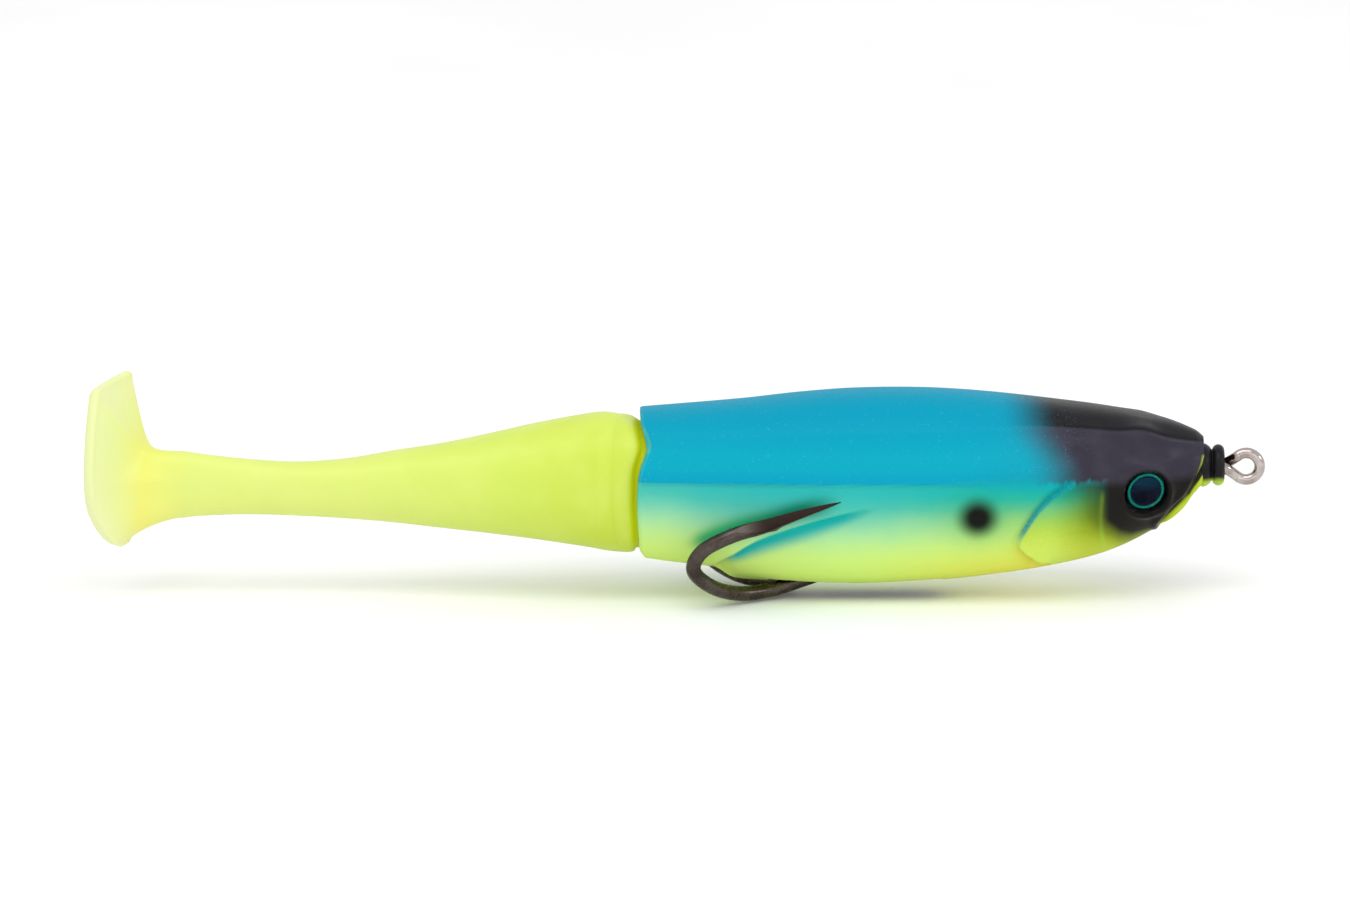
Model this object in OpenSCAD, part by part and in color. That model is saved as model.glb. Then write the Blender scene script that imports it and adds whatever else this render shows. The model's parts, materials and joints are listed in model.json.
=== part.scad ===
// Hollow-body paddle-tail swimbait with a double hook and a jointed, flexible tail.
// Frame: +X towards the nose, +Z towards the back, origin at the centre of the line-tie eye.

/* [Body] */
// Length of the hollow body, from the nose face to the rear rim
body_len = 59.3; // [57:0.1:61]
// Depth of the body, from back to belly
body_depth = 21; // [20:0.1:22]
// Width of the body across the lateral crease
body_w = 16.6; // [16:0.1:17]
// Wall of the skin along the body
skin_t = 1.4; // [1.2:0.1:1.6]

/* [Eyes] */
// Diameter of an eye
eye_d = 4.3; // [3.8:0.1:4.6]
// How far the clear dome rises over its foil
eye_rise = 0.85; // [0.6:0.05:1]

/* [Line tie] */
// Diameter of the line-tie wire
tie_wire_d = 1.16; // [1:0.02:1.2]
// Diameter at the middle of the wire of the front eye
tie_eye_d = 2.84; // [2.7:0.02:3.2]

/* [Hook] */
// Diameter of the hook wire
hook_wire_d = 1.6; // [1.3:0.1:1.6]
// How far the hook can drop out of the belly slot, in degrees
hook_drop = 5; // [0:1:5]
// Radius of the ballast
ballast_r = 2.4; // [2:0.1:2.4]

/* [Tail] */
// Length of the soft tail, from the rear rim to the end of the paddle
tail_len = 58.8; // [56:0.2:60]
// Height of the paddle
paddle_h = 17.6; // [16:0.2:18]
// Width of the paddle
paddle_w = 14; // [12:0.2:15]
// How far the moulded paddle is set round towards the right side, in degrees
paddle_set = 19; // [0:1:22]
// Swing of the tail joint to each side, in degrees
tail_swing = 15; // [10:1:15]

/* [Hidden] */
$fn = 48;

// Places along the body
nose_x = -4.5;
rim_x = nose_x - body_len;
cavity_front_x = -10.2;
head_wall = 1.2;
hinge_x = rim_x + 0.8;
tail_end_x = rim_x - tail_len;
fit_gap = 0.05;
bore_gap = 0.02;
cut = 1;
sides = 36;
skin_sides = 28;

// Outlines of the body: share of the length behind the nose face, then millimetres at a depth of 21
back_line = [[0, 3.1], [0.017, 3.8], [0.07, 4.9], [0.16, 6.2], [0.26, 7.2], [0.39, 8],
             [0.5, 8.3], [0.62, 8.25], [0.72, 7.8], [0.82, 7.15], [1, 6.3]];
belly_line = [[0, -1.9], [0.017, -3.2], [0.037, -4.8], [0.07, -6.2], [0.16, -8.7], [0.26, -10.3],
              [0.39, -11.5], [0.5, -12.1], [0.62, -12.4], [0.72, -12.1], [0.8, -11.6],
              [0.84, -11.4], [0.872, -10.3], [1, -9.85]];
// Half widths, in shares of half the body's width
width_line = [[0, 0.28], [0.017, 0.34], [0.037, 0.43], [0.07, 0.56], [0.16, 0.78], [0.26, 0.89],
              [0.39, 0.96], [0.5, 0.99], [0.62, 1], [0.72, 0.98], [0.82, 0.92], [1, 0.81]];
depth_scale = body_depth / 21;
crease_z = -0.2;
belly_low_z = -12.4;
back_power = 2.5;
belly_power = 2.1;

// Line tie: twin legs run back from the front eye to a rear eye inside the head
tie_r = tie_wire_d / 2;
leg_y = tie_r + 0.14;
leg_thin = 0.97;
eye_land = 0.08;
eye_arc = 270;
rear_eye_x = -16.5;
rear_eye_r = 1.6;
// The upper leg's route between its two eyes, with y to the left; the lower leg is turned half round
leg_line = [[-1.75, 0.48, 0.42], [-2.5, leg_y, 0], [-4, leg_y, 0], [-9, leg_y, 0],
            [rear_eye_x + 2.9, leg_y, 0], [rear_eye_x + 1.8, 0.5, 0.8]];
plug_z = 0.15;
bulb_r = 2.2;
bulb_len = 2.2;
stem_r = 1.5;
sleeve_len = 2.6;
sleeve_r = 1.75;
sleeve_x = rear_eye_x + 2.9;

// Hook: its eye hangs in the rear eye of the line tie, and turns about the wire that crosses it
hook_r = hook_wire_d / 2;
hook_gap = 0.05;
link_x = rear_eye_x - rear_eye_r + tie_r + hook_r + bore_gap;
hook_eye_r = 2;
shank_angle = 22;
shank_len = 28.4;
hook_sides = 10;
point_len = 9;
tip_r = 0.06;
// The right arm's route from the end of the shank to the point, with y to the right
arm_route = [[-43, 0.85, -10.6], [-46.8, 1.2, -11.9], [-50.2, 2.5, -12.7], [-53.4, 4.6, -12.6],
             [-56.3, 7.1, -11.3], [-58.2, 8.6, -9.2], [-57.2, 9.1, -7], [-54, 9.3, -5.3],
             [-50.6, 9.4, -4.3], [-46.8, 9.4, -3], [-42.8, 9.3, -1.8]];
slot_front_x = -31.5;
slot_rear_x = -50.5;
slot_w = 2 * hook_wire_d + 2.2;
slot_h = 5;
slot_cut = 3;
ballast_from = 6;
ballast_len = 11;
ballast_end_r = 0.9;

// Eyes: the middle of the foil on the right side, and how it faces
eye_at = [-10.5, -4.85, -1.5];
eye_yaw = 17;
eye_tilt = 8;
foil_t = 0.2;
eye_cut = 4;

// Joint at the rear rim
pin_r = 0.6;
pin_gap = 0.04;
pin_from_z = -7.2;
pin_to_z = 3.6;
socket_depth = 8.4;
socket_w = 10.8;
socket_top_z = 5;
socket_bottom_z = -8.6;
plate_t = 2.5;
tongue_half_w = 1.8;
tongue_from_z = -3.9;
tongue_to_z = 0.7;
tongue_gap = 0.15;
drum_r = 4.6;
drum_top_z = 4.5;
drum_bottom_z = -8.1;
// The drum's rounded corners: how far in from its side, then from its bottom or its top
drum_lower = [[2, 0], [0.6, 1.3], [0, 3.3]];
drum_upper = [[0, 3.1], [0.7, 1.3], [2, 0]];
peg_r = 1.3;
peg_z = -1.6;
peg_len = 12;
barb_r = 1.9;
barb_len = 1.6;
barb_step = 2.2;

// Outlines of the soft tail: share of its length behind the rim, then top, bottom and half width
tail_line = [[0.008, 5, -9, 5.9], [0.03, 5.7, -9, 6.1], [0.045, 5.9, -8.9, 6.1], [0.09, 5.8, -8.4, 5.9],
             [0.18, 4.75, -7.6, 5.3], [0.26, 3.7, -7, 4.6], [0.35, 2.6, -6.4, 3.9],
             [0.44, 1.8, -5.8, 3.2], [0.52, 1, -5.4, 2.7], [0.61, 0.6, -5.1, 2.3],
             [0.7, 0.8, -4.9, 2], [0.78, 1.4, -5, 1.8], [0.83, 1.9, -5.4, 1.8],
             [0.875, 2.5, -6, 2]];
shoulder_x = rim_x - 0.5;
flex_x = rim_x - 0.5 * tail_len;
wrist_x = rim_x - 0.79 * tail_len;
tail_gap = 0.3;
flex_half = 10;
wrist_half = 18;
bend_overlap = 0.04;
half_space = [90, 80, 40];
// Half outline of the paddle: height as a share from bottom to top, then half width as a share
paddle_line = [[0, 0.18], [0.04, 0.42], [0.14, 0.68], [0.3, 0.92], [0.48, 1], [0.7, 0.95],
               [0.88, 0.84], [1, 0.74]];
paddle_x = tail_end_x + 2.7;
paddle_bottom_z = -8.1;
paddle_t = 1.8;

// Value at x on a smooth curve through the rows of a table, column c, with x in column 0
function slope(t, c, i) =
    let (a = max(i - 1, 0), b = min(i + 1, len(t) - 1))
    (t[b][c] - t[a][c]) / (t[b][0] - t[a][0]);
function curve(t, x, c = 1, i = 0) =
    x <= t[0][0] ? t[0][c]
    : i >= len(t) - 1 ? t[len(t) - 1][c]
    : x > t[i + 1][0] ? curve(t, x, c, i + 1)
    : let (h = t[i + 1][0] - t[i][0], u = (x - t[i][0]) / h)
      t[i][c] * (2 * u ^ 3 - 3 * u ^ 2 + 1) + h * slope(t, c, i) * (u ^ 3 - 2 * u ^ 2 + u)
      + t[i + 1][c] * (3 * u ^ 2 - 2 * u ^ 3) + h * slope(t, c, i + 1) * (u ^ 3 - u ^ 2);

// A rounded closed section in the plane at x: half width w, from bottom to top, widest at mid
function power(v, p) = sign(v) * abs(v) ^ (2 / p);
function section(x, w, top, bottom, mid, n, up = back_power, down = belly_power) =
    [for (i = [0:n - 1]) let (a = 360 * i / n, s = sin(a), p = s > 0 ? up : down)
        [x, w * power(cos(a), p), mid + (s > 0 ? top - mid : mid - bottom) * power(s, p)]];

// Shares of the body's length where it has a ring, closer together at the nose
function ring_shares(n) = [for (i = [0:n]) (i / n) ^ 1.35];
function body_x(share) = nose_x - share * body_len;
function back_z(share) = depth_scale * curve(back_line, share);
function belly_z(share) = depth_scale * curve(belly_line, share);
function half_w(share) = body_w / 2 * curve(width_line, share);
// The skin is thicker in the head, from 20 mm behind the eye of the line tie forwards
function wall_at(x) = skin_t + head_wall * max(0, min(1, (x + 20) / 9));

module loft(rings) {
    n = len(rings[0]);
    last = len(rings) - 1;
    points = [for (r = rings) each r];
    walls = [for (k = [0:last - 1], i = [0:n - 1])
        let (j = (i + 1) % n)
        each [[k * n + i, k * n + j, (k + 1) * n + i], [k * n + j, (k + 1) * n + j, (k + 1) * n + i]]];
    caps = [[for (i = [n - 1:-1:0]) i], [for (i = [0:n - 1]) last * n + i]];
    polyhedron(points, concat(walls, caps), convexity = 6);
}

// A round wire along a route, with a radius for each point; its ring turns as little as it can
function unit(v) = v / norm(v);
function heading(p, i) = unit(p[min(i + 1, len(p) - 1)] - p[max(i - 1, 0)]);
function square_to(v, t) = unit(v - (v * t) * t);
module wire(p, radii, n) {
    ups = [for (i = 0, u = square_to([0, 0, 1], heading(p, 0)); i < len(p);
                i = i + 1, u = i < len(p) ? square_to(u, heading(p, i)) : u) u];
    loft([for (i = [0:len(p) - 1]) let (t = heading(p, i), side = cross(t, ups[i]))
        [for (k = [0:n - 1]) let (a = -360 * (k + 0.5) / n)
            p[i] + radii[i] * (cos(a) * ups[i] + sin(a) * side)]]);
}

// Points on a smooth curve through a route, with steps points on each stretch
function through(r, steps) = [
    for (i = [0:len(r) - 2], k = [0:steps - 1])
        let (a = r[max(i - 1, 0)], b = r[i], c = r[i + 1], d = r[min(i + 2, len(r) - 1)], u = k / steps)
        0.5 * (2 * b + (c - a) * u + (2 * a - 5 * b + 4 * c - d) * u ^ 2 + (3 * b - a - 3 * c + d) * u ^ 3),
    r[len(r) - 1]];

module along_x(x, h, r, z = 0, y = 0, r2 = undef) {
    translate([x, y, z]) rotate([0, 90, 0]) cylinder(h = h, r1 = r, r2 = is_undef(r2) ? r : r2);
}

module right_and_left() {
    children();
    mirror([0, 1, 0]) children();
}

// Puts a child, built with its axis along +Z and its base at the foil, at the right eye
module at_eye() {
    translate(eye_at) rotate([0, 0, eye_yaw]) rotate([90 + eye_tilt, 0, 0]) children();
}

// Turns a child, built along +X from the link, to the hook's shank
module along_shank() {
    translate([link_x, 0, 0]) rotate([0, 180 - shank_angle, 0]) children();
}

module socket_outline(grow = 0) {
    half_h = (socket_top_z - socket_bottom_z) / 2;
    translate([0, (socket_top_z + socket_bottom_z) / 2])
        polygon([for (i = [0:sides - 1]) let (a = 360 * i / sides)
            [(socket_w / 2 + grow) * power(cos(a), 2.5), (half_h + grow) * power(sin(a), 2.5)]]);
}

module socket_block(from_x, h, grow = 0) {
    translate([from_x, 0, 0]) rotate([90, 0, 90]) linear_extrude(h) socket_outline(grow);
}

module body_shell() {
    color("deepskyblue") difference() {
        loft([for (s = ring_shares(26))
            section(body_x(s), half_w(s), back_z(s), belly_z(s), crease_z, sides)]);
        loft([for (s = ring_shares(16)) let (
                x = cavity_front_x + s * (rim_x + socket_depth - cut - cavity_front_x),
                share = (nose_x - x) / body_len, t = wall_at(x))
            section(x, half_w(share) - t, back_z(share) - t, belly_z(share) + t, crease_z, skin_sides)]);
        socket_block(rim_x - cut, socket_depth + cut);
        along_x(cavity_front_x - cut, nose_x - cavity_front_x + 2 * cut, stem_r, plug_z);
        translate([slot_rear_x, -slot_w / 2, belly_low_z - slot_cut])
            cube([slot_front_x - slot_rear_x, slot_w, slot_h + slot_cut]);
        right_and_left() at_eye() translate([0, 0, -foil_t])
            cylinder(h = eye_cut, r = eye_d / 2 + fit_gap);
    }
}

module nose_plug() {
    color("black") difference() {
        union() {
            translate([nose_x, 0, plug_z]) rotate([0, 90, 0]) rotate_extrude() bulb_profile();
            along_x(cavity_front_x + 0.4, nose_x - cavity_front_x, stem_r - bore_gap, plug_z);
        }
        for (y = [-leg_y, leg_y]) along_x(cavity_front_x - cut, 12 * cut, tie_r + bore_gap, 0, y);
    }
}

// Half section of the bulb that shows at the nose, from its back face forwards
module bulb_profile() {
    edge_r = 0.9;
    square([bulb_r - edge_r, bulb_len]);
    translate([0, edge_r]) square([bulb_r, bulb_len - 2 * edge_r]);
    for (h = [edge_r, bulb_len - edge_r]) translate([bulb_r - edge_r, h]) circle(edge_r);
}

// A point on a ring in the XZ plane, and one side's route from the front eye to the rear eye
function ring_point(x, r, a) = [x + r * cos(a), 0, r * sin(a)];
function leg_route(s) = through([
    ring_point(0, tie_eye_d / 2, s * 120), ring_point(0, tie_eye_d / 2, s * 134),
    for (p = leg_line) [p[0], s * p[1], s * p[2]],
    ring_point(rear_eye_x, rear_eye_r, s * 55)], 3);

module line_tie() {
    ring_r = tie_eye_d / 2;
    upper = leg_route(1);
    lower = leg_route(-1);
    rear_eye = [for (a = [70:15:290]) ring_point(rear_eye_x, rear_eye_r, a)];
    route = concat(upper, rear_eye, [for (i = [len(lower) - 1:-1:0]) lower[i]]);
    color("silver") difference() {
        union() {
            rotate([90, 0, 0]) rotate([0, 0, -eye_arc / 2]) rotate_extrude(angle = eye_arc)
                translate([ring_r, 0]) circle(tie_r);
            wire(route, [for (p = route) leg_thin * tie_r], 12);
        }
        translate([0, 2, 0]) rotate([90, 0, 0]) cylinder(h = 4, r = ring_r - tie_r + eye_land);
    }
}

module crimp_sleeve() {
    color("dimgray") difference() {
        along_x(sleeve_x, sleeve_len, sleeve_r);
        for (y = [-leg_y, leg_y]) along_x(sleeve_x - cut, sleeve_len + 2 * cut, tie_r + bore_gap, 0, y);
    }
}

module eye_foil() {
    color("teal") at_eye() translate([0, 0, -foil_t]) cylinder(h = foil_t, r = eye_d / 2);
}

module eye_dome() {
    cap_r = eye_d / 2;
    ball_r = (cap_r ^ 2 + eye_rise ^ 2) / (2 * eye_rise);
    color("lightcyan", 0.5) at_eye() intersection() {
        translate([0, 0, eye_rise - ball_r]) sphere(ball_r);
        cylinder(h = eye_rise + cut, r = cap_r + cut);
    }
}

// One wire: from the left point along the shank, round the eye and back to the right point
module double_hook() {
    forward = [cos(shank_angle), 0, sin(shank_angle)];
    eye_centre = [link_x, 0, 0] - hook_eye_r * forward;
    half_gap = hook_r + hook_gap;
    side_turn = acos(half_gap / hook_eye_r) - 12;
    right_arm = [for (p = through(arm_route, 4)) [p[0], -p[1], p[2]]];
    shank = [for (d = [shank_len - 4, 16, 2 * hook_eye_r + 1])
        [link_x, -half_gap, 0] - d * forward];
    half_eye = [for (a = [180 - side_turn / 2:-24:0])
        eye_centre + hook_eye_r * (cos(a) * forward - sin(a) * [0, 1, 0])];
    right_half = concat([for (i = [len(right_arm) - 1:-1:0]) right_arm[i]], shank, half_eye);
    left_half = [for (i = [len(right_half) - 1:-1:0]) let (p = right_half[i]) [p[0], -p[1], p[2]]];
    route = concat(right_half, left_half);
    tip = right_arm[len(right_arm) - 1];
    radii = [for (p = route) let (d = norm([p[0], -abs(p[1]), p[2]] - tip))
        d < point_len ? max(tip_r, hook_r * (d / point_len) ^ 0.75) : hook_r];
    color("dimgray") wire(route, radii, hook_sides);
}

module belly_weight() {
    color("gray") difference() {
        along_shank() translate([ballast_from, 0, 0]) rotate([0, 90, 0])
            rotate_extrude() ballast_profile();
        right_and_left() along_shank() along_x(0, shank_len, hook_r + bore_gap, 0, hook_r + hook_gap);
    }
}

// Half section of the ballast, with rounded ends
module ballast_profile() {
    translate([0, ballast_end_r]) square([ballast_r, ballast_len - 2 * ballast_end_r]);
    square([ballast_r - ballast_end_r, ballast_len]);
    for (h = [ballast_end_r, ballast_len - ballast_end_r])
        translate([ballast_r - ballast_end_r, h]) circle(ballast_end_r);
}

module rear_bulkhead() {
    plate_x = rim_x + socket_depth - plate_t;
    tongue_h = tongue_to_z - tongue_from_z;
    color("gold") difference() {
        union() {
            socket_block(plate_x, plate_t - 2 * fit_gap, -fit_gap);
            translate([hinge_x, -tongue_half_w, tongue_from_z])
                cube([plate_x - hinge_x + plate_t / 2, 2 * tongue_half_w, tongue_h]);
            translate([hinge_x, 0, tongue_from_z]) cylinder(h = tongue_h, r = tongue_half_w);
        }
        translate([hinge_x, 0, tongue_from_z - cut]) cylinder(h = tongue_h + 2 * cut, r = pin_r + pin_gap);
    }
}

module hinge_pin() {
    color("silver") translate([hinge_x, 0, pin_from_z]) cylinder(h = pin_to_z - pin_from_z, r = pin_r);
}

// Half section of the drum that turns in the rim, as wide as the rim leaves room for
module drum_profile(grow = 0) {
    r = drum_r + grow;
    bottom = drum_bottom_z - grow;
    top = drum_top_z + grow;
    polygon(concat([[0, bottom]], [for (c = drum_lower) [r - c[0], bottom + c[1]]],
                   [for (c = drum_upper) [r - c[0], top - c[1]]], [[0, top]]));
}

module drum(grow = 0) {
    translate([hinge_x, 0, 0]) rotate_extrude() drum_profile(grow);
}

module peg() {
    along_x(hinge_x - peg_len, peg_len - 2, peg_r, peg_z);
    for (i = [0:2]) along_x(hinge_x - peg_len + i * barb_step, barb_len, peg_r, peg_z, 0, barb_r);
}

module tail_coupler() {
    room_h = tongue_to_z - tongue_from_z + 2 * tongue_gap;
    room_r = tongue_half_w + tongue_gap;
    color("yellowgreen") difference() {
        union() {
            drum();
            peg();
        }
        translate([hinge_x, 0, pin_from_z]) cylinder(h = 2 * drum_top_z - pin_from_z, r = pin_r);
        translate([hinge_x, 0, tongue_from_z - tongue_gap]) {
            cylinder(h = room_h, r = room_r);
            for (a = [-tail_swing - 1, 0, tail_swing + 1]) rotate([0, 0, a])
                translate([0, -room_r, 0]) cube([2 * drum_r, 2 * room_r, room_h]);
        }
    }
}

function tail_x(share) = rim_x - share * tail_len;
function tail_ring(share) = section(tail_x(share), curve(tail_line, share, 3),
    curve(tail_line, share, 1), curve(tail_line, share, 2), peg_z, skin_sides, 2.4, 2.2);

// The soft tail as one loft between two shares of its length
module tail_skin(from, to, n) {
    loft([for (i = [0:n]) tail_ring(from + (to - from) * i / n)]);
}

// Everything behind a bend at x, or in front of it, back to a shallow V with its ridge at y = 0
module beyond_bend(x, half_angle, front) {
    for (s = [-1, 1]) translate([x, 0, 0]) rotate([0, 0, (front ? 1 : -1) * s * half_angle])
        translate([front ? 0 : -half_space[0], -half_space[1] / 2, -half_space[2] / 2]) cube(half_space);
}

module tail_root() {
    color("greenyellow") difference() {
        tail_skin(tail_line[0][0], (rim_x - flex_x) / tail_len + bend_overlap, 16);
        drum(bore_gap);
        peg();
        beyond_bend(shoulder_x, tail_swing, true);
        beyond_bend(flex_x + tail_gap / 2, flex_half, false);
    }
}

module tail_stem() {
    from = (rim_x - flex_x) / tail_len;
    to = (rim_x - wrist_x) / tail_len;
    color("greenyellow") difference() {
        tail_skin(from - bend_overlap, to + 1.5 * bend_overlap, 14);
        beyond_bend(flex_x - tail_gap / 2, flex_half, true);
        beyond_bend(wrist_x + tail_gap / 2, wrist_half, false);
    }
}

module paddle_plate() {
    right = [for (s = [0:0.05:1]) [paddle_w / 2 * curve(paddle_line, s), s * paddle_h]];
    left = [for (i = [len(right) - 1:-1:0]) [-right[i][0], right[i][1]]];
    translate([paddle_x, 0, paddle_bottom_z]) rotate([0, 0, -paddle_set]) rotate([90, 0, 90])
        translate([0, 0, -paddle_t / 2]) linear_extrude(paddle_t) polygon(concat(right, left));
}

module tail_paddle() {
    from = (rim_x - wrist_x) / tail_len;
    color("greenyellow") union() {
        difference() {
            tail_skin(from - bend_overlap / 2, (rim_x - paddle_x) / tail_len, 8);
            beyond_bend(wrist_x - tail_gap / 2, wrist_half, true);
        }
        paddle_plate();
    }
}

body_shell();
nose_plug();
line_tie();
crimp_sleeve();
eye_foil();  // eye_foil_right
mirror([0, 1, 0]) eye_foil();  // eye_foil_left
eye_dome();  // eye_dome_right
mirror([0, 1, 0]) eye_dome();  // eye_dome_left
double_hook();
belly_weight();
rear_bulkhead();
hinge_pin();
tail_coupler();
tail_root();
tail_stem();
tail_paddle();
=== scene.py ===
import json
import math

import bmesh
import bpy
import numpy as np
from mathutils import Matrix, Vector


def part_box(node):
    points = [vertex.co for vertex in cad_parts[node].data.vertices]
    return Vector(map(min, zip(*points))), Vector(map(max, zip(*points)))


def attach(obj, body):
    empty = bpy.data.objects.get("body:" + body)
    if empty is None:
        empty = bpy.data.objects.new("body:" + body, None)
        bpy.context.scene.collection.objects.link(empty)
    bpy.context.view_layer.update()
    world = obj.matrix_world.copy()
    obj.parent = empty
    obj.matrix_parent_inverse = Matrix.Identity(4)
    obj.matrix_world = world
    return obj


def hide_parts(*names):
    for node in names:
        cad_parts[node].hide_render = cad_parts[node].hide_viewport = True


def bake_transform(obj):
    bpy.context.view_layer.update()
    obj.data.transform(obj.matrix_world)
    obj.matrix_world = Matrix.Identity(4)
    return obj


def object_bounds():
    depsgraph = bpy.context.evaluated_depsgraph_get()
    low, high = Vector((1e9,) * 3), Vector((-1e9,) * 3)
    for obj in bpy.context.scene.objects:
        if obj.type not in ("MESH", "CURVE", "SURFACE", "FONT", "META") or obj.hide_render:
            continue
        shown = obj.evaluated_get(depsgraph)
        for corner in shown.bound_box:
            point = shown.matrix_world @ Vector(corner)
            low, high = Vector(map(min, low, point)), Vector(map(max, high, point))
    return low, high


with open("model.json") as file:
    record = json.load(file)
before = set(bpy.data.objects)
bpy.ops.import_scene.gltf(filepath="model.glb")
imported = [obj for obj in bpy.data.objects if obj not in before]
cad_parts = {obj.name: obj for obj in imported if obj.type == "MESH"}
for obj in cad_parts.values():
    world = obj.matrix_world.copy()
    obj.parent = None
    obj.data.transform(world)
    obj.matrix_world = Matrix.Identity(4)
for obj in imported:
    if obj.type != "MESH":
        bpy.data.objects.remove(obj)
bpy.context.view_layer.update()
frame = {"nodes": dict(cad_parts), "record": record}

MM = 0.001

# ---------------- places, from the frame, in millimetres


def box(node):
    """Lowest and highest corner of a CAD node, in millimetres."""
    low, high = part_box(node)
    return np.array(low) / MM, np.array(high) / MM


def joint_x(name):
    """Where a hinge sits along the lure, in millimetres."""
    for joint in frame["record"]["behaviour"]["joints"]:
        if joint["name"] == name:
            return joint["pos_m"][0] / MM
    raise KeyError(name)


body_low, body_high = box("body_shell")
paddle_low, paddle_high = box("tail_paddle")
NOSE_X = body_high[0]
RIM_X = body_low[0]
BODY_LEN = NOSE_X - RIM_X
HALF_W = (body_high[1] - body_low[1]) / 2
# The soft paddle keeps this far inside the rear of its CAD box
PADDLE_MARGIN = 0.4
TAIL_END_X = paddle_low[0] + PADDLE_MARGIN
TAIL_LEN = RIM_X - TAIL_END_X
LINK_X = joint_x("hook_drop")
CREASE_Z = -0.2

# Outlines of the body: share of its length behind the nose, then millimetres
BACK = [(0, 3.2), (0.017, 3.95), (0.07, 5.15), (0.16, 6.25), (0.26, 7.05), (0.39, 7.9),
        (0.5, 8.3), (0.62, 8.25), (0.72, 7.8), (0.82, 7.15), (1, 6.3)]
BELLY = [(0, -1.7), (0.017, -2.75), (0.037, -4.3), (0.07, -5.95), (0.16, -8.7), (0.26, -10.3),
         (0.39, -11.5), (0.5, -12.1), (0.62, -12.4), (0.72, -12.2), (0.8, -11.9),
         (0.836, -11.65), (0.866, -10.6), (0.9, -10.3), (1, -9.6)]
WIDTH = [(0, 0.25), (0.017, 0.33), (0.037, 0.43), (0.07, 0.56), (0.16, 0.78), (0.26, 0.89),
         (0.39, 0.96), (0.5, 0.98), (0.62, 0.98), (0.72, 0.965), (0.82, 0.91), (1, 0.81)]
# Soft tail: share of its length behind the rim, then top, bottom and half width
TAIL = [(0.008, 4.9, -8.9, 5.5), (0.03, 5.6, -8.9, 5.9), (0.06, 5.85, -8.7, 6), (0.09, 5.7, -8.4, 5.8),
        (0.18, 4.75, -7.6, 5.2), (0.26, 3.7, -7, 4.5), (0.35, 2.6, -6.4, 3.8), (0.44, 1.8, -5.8, 3.1),
        (0.52, 1, -5.4, 2.6), (0.61, 0.65, -5.1, 2.2), (0.7, 0.95, -4.95, 1.95), (0.78, 1.5, -5.1, 1.8),
        (0.83, 1.95, -5.4, 1.8)]
# Soft front edge of the tail: millimetres behind the rim, then half width, top and bottom
COLLAR = [(-0.3, 5.2, 4.6, -8.3), (0.3, 5.25, 4.75, -8.4), (0.55, 5.45, 4.95, -8.6), (0.9, 5.72, 5.2, -8.85),
          (1.5, 5.88, 5.45, -8.93), (2.3, 5.9, 5.6, -8.85), (3.2, 5.72, 5.5, -8.6), (4.2, 5.45, 5.25, -8.25)]
TAIL_MID_Z = -1.6
# Half outline of the paddle: share of its height, then share of its half width
PADDLE = [(0, 0.16), (0.04, 0.42), (0.14, 0.68), (0.3, 0.9), (0.48, 1), (0.7, 0.97), (0.88, 0.88), (1, 0.8)]
# Height of the crease along the deck, by place along the lure
DECK = [(-63.8, 4.6), (-45, 5.1), (-30, 5.3), (-21.7, 5.4), (-11.4, 4.3), (-4.9, 2.9)]

# ---------------- numbers


def curve(table, x, column=1):
    """Value at x on a smooth curve through the rows of a table."""
    t = np.array([row[0] for row in table], float)
    v = np.array([row[column] for row in table], float)
    slope = np.empty_like(v)
    slope[1:-1] = (v[2:] - v[:-2]) / (t[2:] - t[:-2])
    slope[0] = (v[1] - v[0]) / (t[1] - t[0])
    slope[-1] = (v[-1] - v[-2]) / (t[-1] - t[-2])
    x = np.clip(np.asarray(x, float), t[0], t[-1])
    i = np.clip(np.searchsorted(t, x, side="right") - 1, 0, len(t) - 2)
    h = t[i + 1] - t[i]
    u = (x - t[i]) / h
    return (v[i] * (2 * u**3 - 3 * u**2 + 1) + h * slope[i] * (u**3 - 2 * u**2 + u)
            + v[i + 1] * (3 * u**2 - 2 * u**3) + h * slope[i + 1] * (u**3 - u**2))


def step(x, low, high):
    """0 below low, 1 above high, smooth between."""
    u = np.clip((np.asarray(x, float) - low) / (high - low), 0, 1)
    return u * u * (3 - 2 * u)


def bell(d, width):
    """1 at d = 0, falling away on both sides."""
    return np.exp(-((d / width) ** 2))


def power(v, p):
    """A sine or cosine reshaped so that it draws a superellipse of power p."""
    return np.sign(v) * np.abs(v) ** (2 / p)


def through(points, steps):
    """Points on a smooth curve through a route."""
    p = np.array(points, float)
    out = []
    for i in range(len(p) - 1):
        a, b, c, d = p[max(i - 1, 0)], p[i], p[i + 1], p[min(i + 2, len(p) - 1)]
        for k in range(steps):
            u = k / steps
            out.append(0.5 * (2 * b + (c - a) * u + (2 * a - 5 * b + 4 * c - d) * u**2
                              + (3 * b - a - 3 * c + d) * u**3))
    out.append(p[-1])
    return np.array(out)


def to_line(x, z, points, steps=8):
    """Distance from points to a curved line in the XZ plane, which side they are on, and how far along."""
    line = through([(a, 0, b) for a, b in points], steps)[:, [0, 2]]
    best = np.full(x.shape, 1e9)
    side = np.zeros(x.shape)
    along = np.zeros(x.shape)
    for i in range(len(line) - 1):
        a, d = line[i], line[i + 1] - line[i]
        t = np.clip(((x - a[0]) * d[0] + (z - a[1]) * d[1]) / (d @ d), 0, 1)
        px, pz = x - a[0] - t * d[0], z - a[1] - t * d[1]
        r = np.hypot(px, pz)
        near = r < best
        best = np.where(near, r, best)
        side = np.where(near, np.sign(d[0] * pz - d[1] * px), side)
        along = np.where(near, (i + t) / (len(line) - 1), along)
    return best, side, along


# ---------------- meshes


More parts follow.
